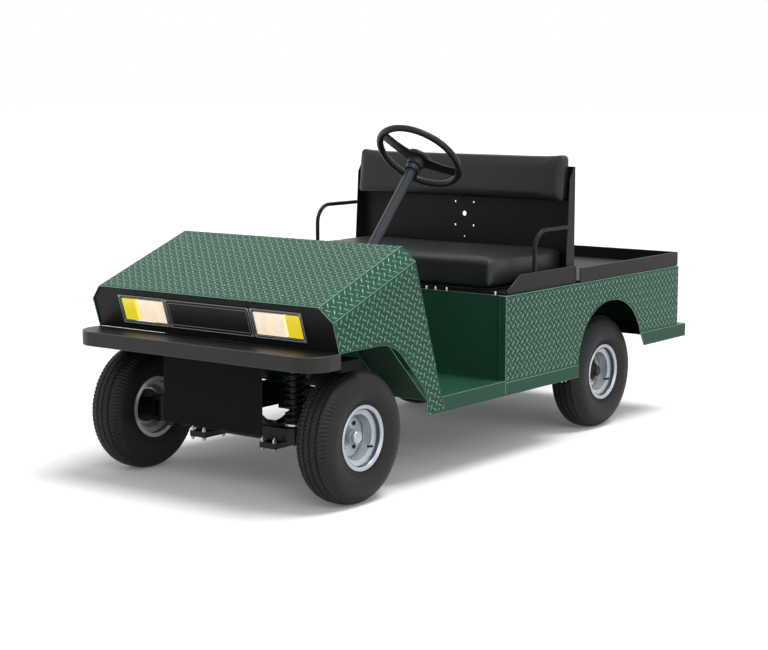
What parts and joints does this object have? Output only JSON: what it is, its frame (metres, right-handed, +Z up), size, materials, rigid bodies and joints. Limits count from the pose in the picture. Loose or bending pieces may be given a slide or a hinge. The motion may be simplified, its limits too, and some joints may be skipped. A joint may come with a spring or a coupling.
{
  "type": "electric utility vehicle",
  "caption": "Small electric utility vehicle with a folded tread-plate nose, an open bench and a flat load deck; it rolls and steers.",
  "frame": {"origin": "on the ground, under the middle of the whole vehicle's length and width", "axes": "+Z up, the front faces -Y, +X is the vehicle's left (the driver's side)"},
  "size_m": [1.12, 2.54, 1.2613],
  "materials": {
    "green_tread_plate": "gloss green paint on diamond tread plate",
    "green_plain": "gloss green paint on plain sheet",
    "black_steel": "satin black powder coat",
    "black_vinyl": "black grained vinyl",
    "black_moulded": "black moulded grip",
    "tyre_rubber": "ribbed tyre rubber",
    "rim_silver": "silver painted steel rim",
    "hub_zinc": "zinc-plated hub and cap",
    "bezel_grey": "grey metal bezel",
    "plate_grey": "dark neutral plate, blank",
    "lamp_lens": "clear and amber lamp lenses",
    "link_steel": "black steel links"
  },
  "bodies": {
    "chassis": {"back_cushion": "black_vinyl", "back_panel": "black_steel", "battery_block": "black_steel", "body_side_left": "green_tread_plate", "body_side_right": "green_tread_plate", "cowl_side_left": "green_tread_plate", "cowl_side_right": "green_tread_plate", "cowl_top": "green_tread_plate", "dash_panel": "black_steel", "deck_floor": "black_steel", "deck_rails": "black_steel", "drive_motor": "black_steel", "floor_pan": "green_plain", "frame_crossmembers": "black_steel", "frame_rails": "black_steel", "front_apron": "black_steel", "front_axle": "black_steel", "front_bumper": "black_steel", "front_lamps": "lamp_lens", "front_panel": "black_steel", "front_shocks": "link_steel", "hip_rails": "black_steel", "lamp_bezel_left": "bezel_grey", "lamp_bezel_right": "bezel_grey", "leaf_springs": "black_steel", "nose_plate": "plate_grey", "pedals": "black_moulded", "rear_axle": "black_steel", "rear_bumper": "green_plain", "rear_panel": "green_tread_plate", "seat_box_front": "green_plain", "seat_brackets": "black_steel", "seat_deck": "black_steel", "side_sills": "green_plain", "steering_column": "black_steel", "steering_gear": "black_steel", "toe_board": "green_plain"},
    "steering_wheel": {"steering_wheel": "black_moulded"},
    "knuckle_left": {"knuckle_left": "black_steel"},
    "knuckle_right": {"knuckle_right": "black_steel"},
    "tie_rod": {"tie_rod": "link_steel"},
    "pitman_arm": {"pitman_arm": "link_steel"},
    "drag_link": {"drag_link": "link_steel"},
    "seat": {"seat_lid": "black_steel", "seat_cushion": "black_vinyl"},
    "wheel_front_left": {"tyre_front_left": "tyre_rubber", "rim_front_left": "rim_silver", "hub_front_left": "hub_zinc"},
    "wheel_front_right": {"tyre_front_right": "tyre_rubber", "rim_front_right": "rim_silver", "hub_front_right": "hub_zinc"},
    "wheel_rear_left": {"tyre_rear_left": "tyre_rubber", "rim_rear_left": "rim_silver", "hub_rear_left": "black_steel"},
    "wheel_rear_right": {"tyre_rear_right": "tyre_rubber", "rim_rear_right": "rim_silver", "hub_rear_right": "black_steel"}
  },
  "joints": [
    {"name": "steer_left", "type": "hinge", "parent": "chassis", "child": "knuckle_left", "pos_m": [0.385, -0.987, 0.232], "axis": [0, 0, 1], "range_deg": [-30, 30]},
    {"name": "steer_right", "type": "hinge", "parent": "chassis", "child": "knuckle_right", "pos_m": [-0.385, -0.987, 0.232], "axis": [0, 0, 1], "range_deg": [-30, 30]},
    {"name": "tie_rod_pivot", "type": "hinge", "parent": "knuckle_left", "child": "tie_rod", "pos_m": [0.385, -0.877, 0.21], "axis": [0, 0, 1], "range_deg": [-30, 30]},
    {"name": "pitman_turn", "type": "hinge", "parent": "chassis", "child": "pitman_arm", "pos_m": [0.264, -0.987, 0.285], "axis": [0, 0, 1], "range_deg": [-30, 30]},
    {"name": "drag_link_pivot", "type": "hinge", "parent": "pitman_arm", "child": "drag_link", "pos_m": [0.264, -0.877, 0.297], "axis": [0, 0, 1], "range_deg": [-30, 30]},
    {"name": "steering_wheel_turn", "type": "hinge", "parent": "chassis", "child": "steering_wheel", "pos_m": [0.218, -0.228, 1.14], "axis": [0, 0.6743, 0.7385], "range_deg": [-360, 360]},
    {"name": "wheel_front_left_spin", "type": "hinge", "parent": "knuckle_left", "child": "wheel_front_left", "pos_m": [0.482, -0.987, 0.232], "axis": [1, 0, 0], "continuous": true},
    {"name": "wheel_front_right_spin", "type": "hinge", "parent": "knuckle_right", "child": "wheel_front_right", "pos_m": [-0.482, -0.987, 0.232], "axis": [1, 0, 0], "continuous": true},
    {"name": "wheel_rear_left_spin", "type": "hinge", "parent": "chassis", "child": "wheel_rear_left", "pos_m": [0.435, 0.683, 0.232], "axis": [1, 0, 0], "continuous": true},
    {"name": "wheel_rear_right_spin", "type": "hinge", "parent": "chassis", "child": "wheel_rear_right", "pos_m": [-0.435, 0.683, 0.232], "axis": [1, 0, 0], "continuous": true},
    {"name": "seat_lid_hinge", "type": "hinge", "parent": "chassis", "child": "seat", "pos_m": [0, -0.13, 0.6455], "axis": [1, 0, 0], "range_deg": [0, 50]}
  ],
  "couplings": [
    {"joint": "steer_right", "follows": "steer_left", "ratio": 1},
    {"joint": "tie_rod_pivot", "follows": "steer_left", "ratio": -1},
    {"joint": "pitman_turn", "follows": "steer_left", "ratio": 1},
    {"joint": "drag_link_pivot", "follows": "steer_left", "ratio": -1},
    {"joint": "steering_wheel_turn", "follows": "steer_left", "ratio": 12}
  ]
}
